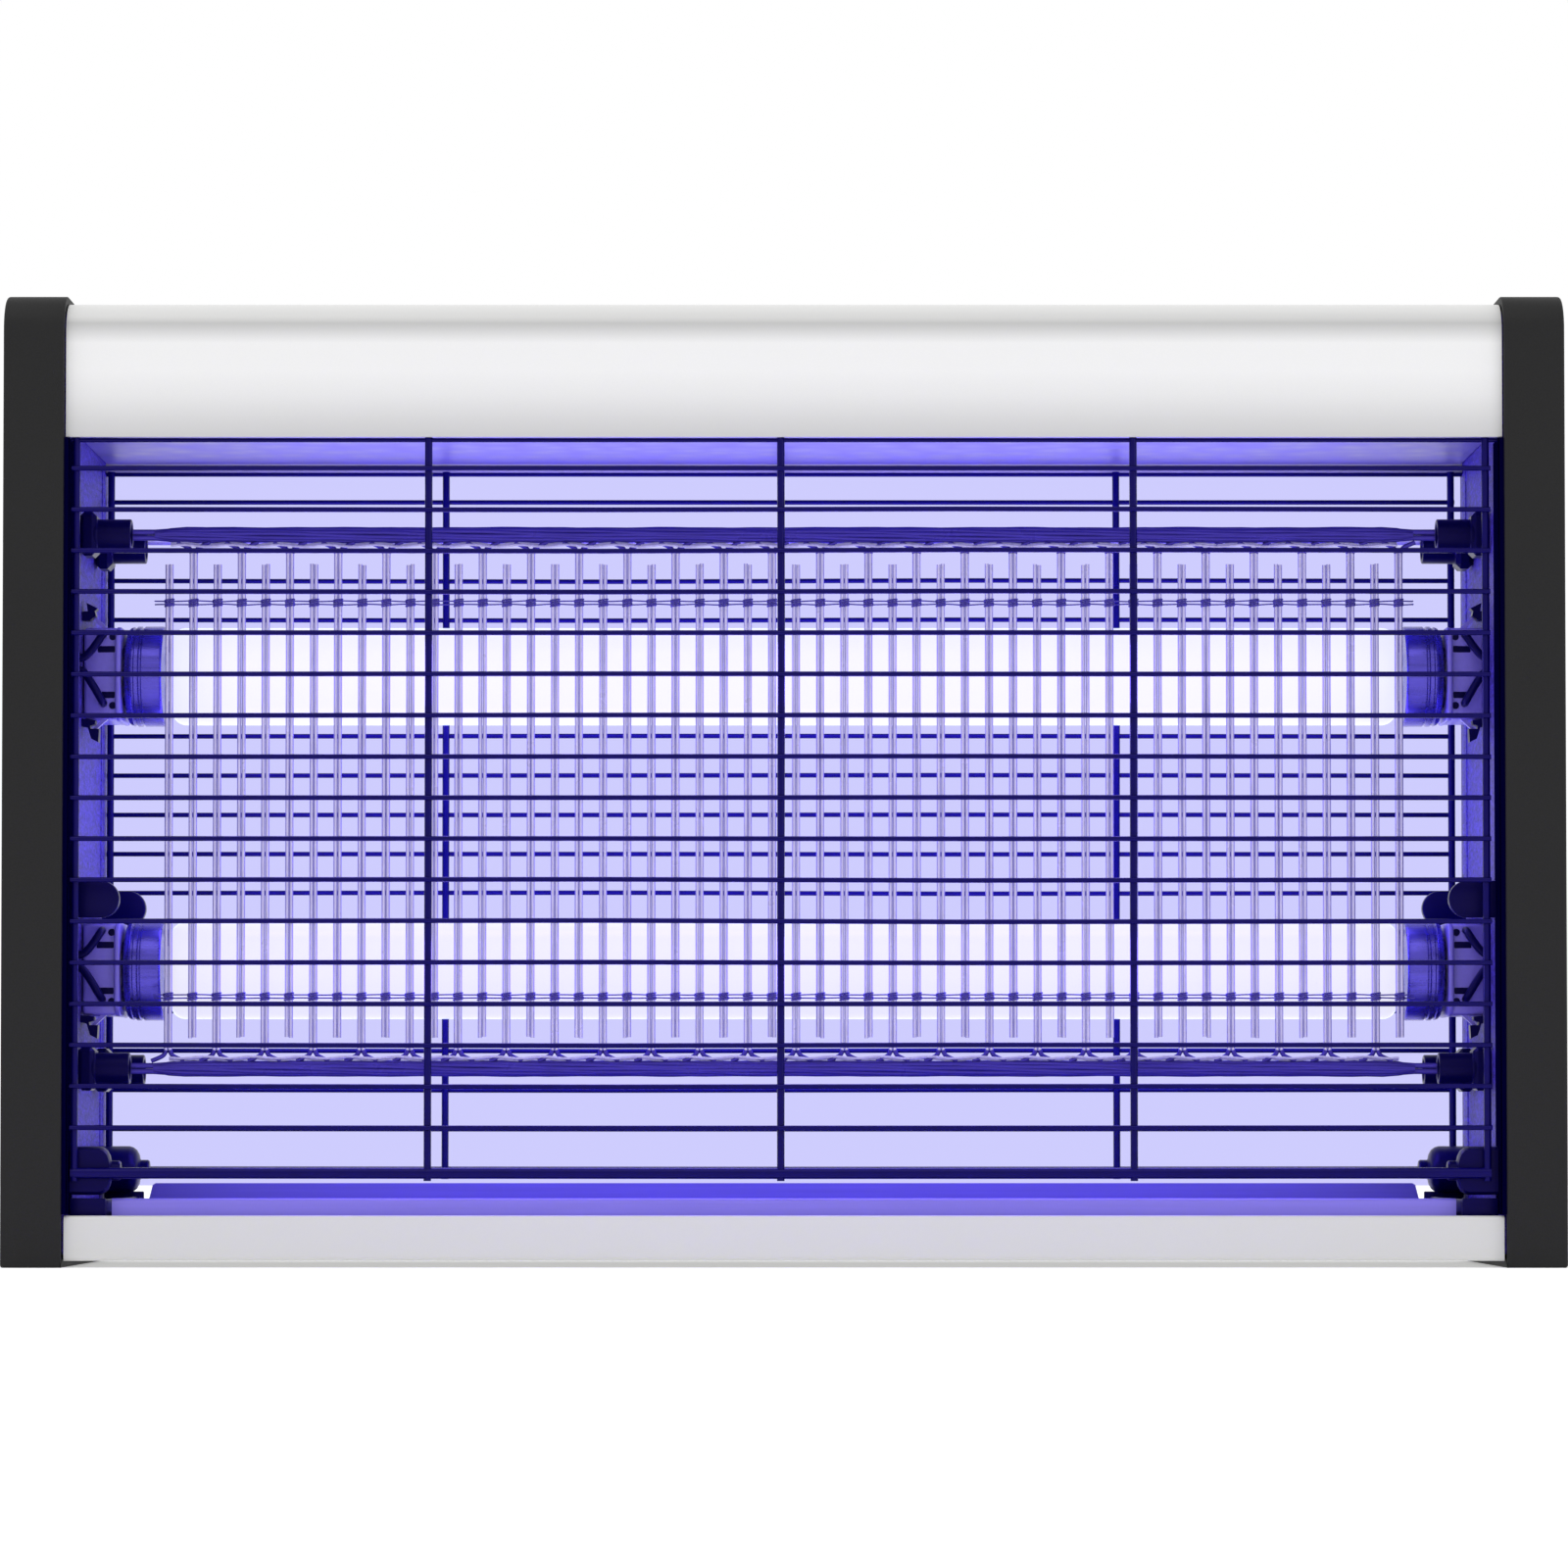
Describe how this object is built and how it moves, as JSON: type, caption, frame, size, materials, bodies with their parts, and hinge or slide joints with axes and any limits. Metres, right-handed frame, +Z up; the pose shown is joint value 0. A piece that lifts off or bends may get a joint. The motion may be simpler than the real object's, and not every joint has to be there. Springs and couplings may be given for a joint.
{
  "type": "electric bug zapper",
  "caption": "Box-shaped electric bug zapper: white top housing and dark end caps around a wire grid, glowing tube lamps, hinged wire guards and a slide-out tray.",
  "frame": {"origin": "centre of the footprint, on the surface that the two end caps stand on", "axes": "+X to the right along the length, -Y towards the front, +Z up"},
  "size_m": [0.391, 0.081, 0.2451],
  "materials": {
    "charcoal_plastic": "fine textured",
    "white_housing": "satin",
    "grey_panel": "satin",
    "side_plastic": "textured",
    "zinc_sheet": "zinc plated",
    "tray_metal": "satin",
    "black_wire": "gloss",
    "grid_wire": "drawn wire",
    "black_plastic": "satin",
    "thread": "matt",
    "lamp_glass": "frosted and glowing",
    "lamp_base": "satin",
    "holder_plastic": "satin",
    "rotor_plastic": "satin",
    "ballast_steel": "varnished",
    "resin": "potted",
    "terminal_nylon": "satin",
    "ring_steel": "nickel plated"
  },
  "bodies": {
    "frame": {"base_plate": "grey_panel", "chassis_plate": "zinc_sheet", "cord_gland": "black_plastic", "front_ballast": "ballast_steel", "front_left_guard_clip": "black_plastic", "front_lower_left_insulator": "black_plastic", "front_lower_right_insulator": "black_plastic", "front_right_guard_clip": "black_plastic", "front_upper_left_insulator": "black_plastic", "front_upper_right_insulator": "black_plastic", "hv_transformer": "resin", "left_end_cap": "charcoal_plastic", "left_ring_bracket": "ring_steel", "left_side_plate": "side_plastic", "left_tray_rail": "black_plastic", "lower_grid_comb": "grid_wire", "lower_lamp_lead_left": "black_plastic", "lower_lamp_lead_right": "black_plastic", "lower_lampholder_left": "holder_plastic", "lower_lampholder_right": "holder_plastic", "lower_spacer_thread": "thread", "rear_ballast": "ballast_steel", "rear_left_guard_clip": "black_plastic", "rear_lower_left_insulator": "black_plastic", "rear_lower_right_insulator": "black_plastic", "rear_lower_rod": "grid_wire", "rear_right_guard_clip": "black_plastic", "rear_upper_left_insulator": "black_plastic", "rear_upper_right_insulator": "black_plastic", "rear_upper_rod": "grid_wire", "right_end_cap": "charcoal_plastic", "right_ring_bracket": "ring_steel", "right_side_plate": "side_plastic", "right_tray_rail": "black_plastic", "switch_frame": "black_plastic", "terminal_block": "terminal_nylon", "top_housing": "white_housing", "upper_grid_comb": "grid_wire", "upper_lamp_lead_left": "black_plastic", "upper_lamp_lead_right": "black_plastic", "upper_lampholder_left": "holder_plastic", "upper_lampholder_right": "holder_plastic", "upper_spacer_thread": "thread"},
    "tray": {"tray_pan": "tray_metal", "tray_fascia": "grey_panel"},
    "front_guard": {"front_guard": "black_wire"},
    "rear_guard": {"rear_guard": "black_wire"},
    "left_ring": {"left_hanging_ring": "ring_steel"},
    "right_ring": {"right_hanging_ring": "ring_steel"},
    "rocker": {"switch_rocker": "black_plastic"},
    "upper_lamp": {"upper_lamp_tube": "lamp_glass", "upper_lamp_base_left": "lamp_base", "upper_lamp_base_right": "lamp_base", "upper_rotor_left": "rotor_plastic", "upper_rotor_right": "rotor_plastic"},
    "lower_lamp": {"lower_lamp_tube": "lamp_glass", "lower_lamp_base_left": "lamp_base", "lower_lamp_base_right": "lamp_base", "lower_rotor_left": "rotor_plastic", "lower_rotor_right": "rotor_plastic"}
  },
  "joints": [
    {"name": "tray_slide", "type": "slide", "parent": "frame", "child": "tray", "axis": [0, -1, 0], "range_m": [0, 0.07]},
    {"name": "front_guard_hinge", "type": "hinge", "parent": "frame", "child": "front_guard", "pos_m": [0, -0.036, 0.2075], "axis": [-1, 0, 0], "range_deg": [0, 65]},
    {"name": "rear_guard_hinge", "type": "hinge", "parent": "frame", "child": "rear_guard", "pos_m": [0, 0.036, 0.2075], "axis": [1, 0, 0], "range_deg": [0, 65]},
    {"name": "upper_lamp_twist", "type": "hinge", "parent": "frame", "child": "upper_lamp", "pos_m": [0, 0, 0.151], "axis": [1, 0, 0], "range_deg": [0, 90]},
    {"name": "lower_lamp_twist", "type": "hinge", "parent": "frame", "child": "lower_lamp", "pos_m": [0, 0, 0.0754], "axis": [1, 0, 0], "range_deg": [0, 90]},
    {"name": "left_ring_swing", "type": "hinge", "parent": "frame", "child": "left_ring", "pos_m": [-0.14, 0, 0.2434], "axis": [1, 0, 0], "range_deg": [0, 180]},
    {"name": "right_ring_swing", "type": "hinge", "parent": "frame", "child": "right_ring", "pos_m": [0.14, 0, 0.2434], "axis": [1, 0, 0], "range_deg": [0, 180]},
    {"name": "rocker_tilt", "type": "hinge", "parent": "frame", "child": "rocker", "pos_m": [0.128, 0.0342, 0.226], "axis": [0, 0, 1], "range_deg": [0, 20]}
  ]
}
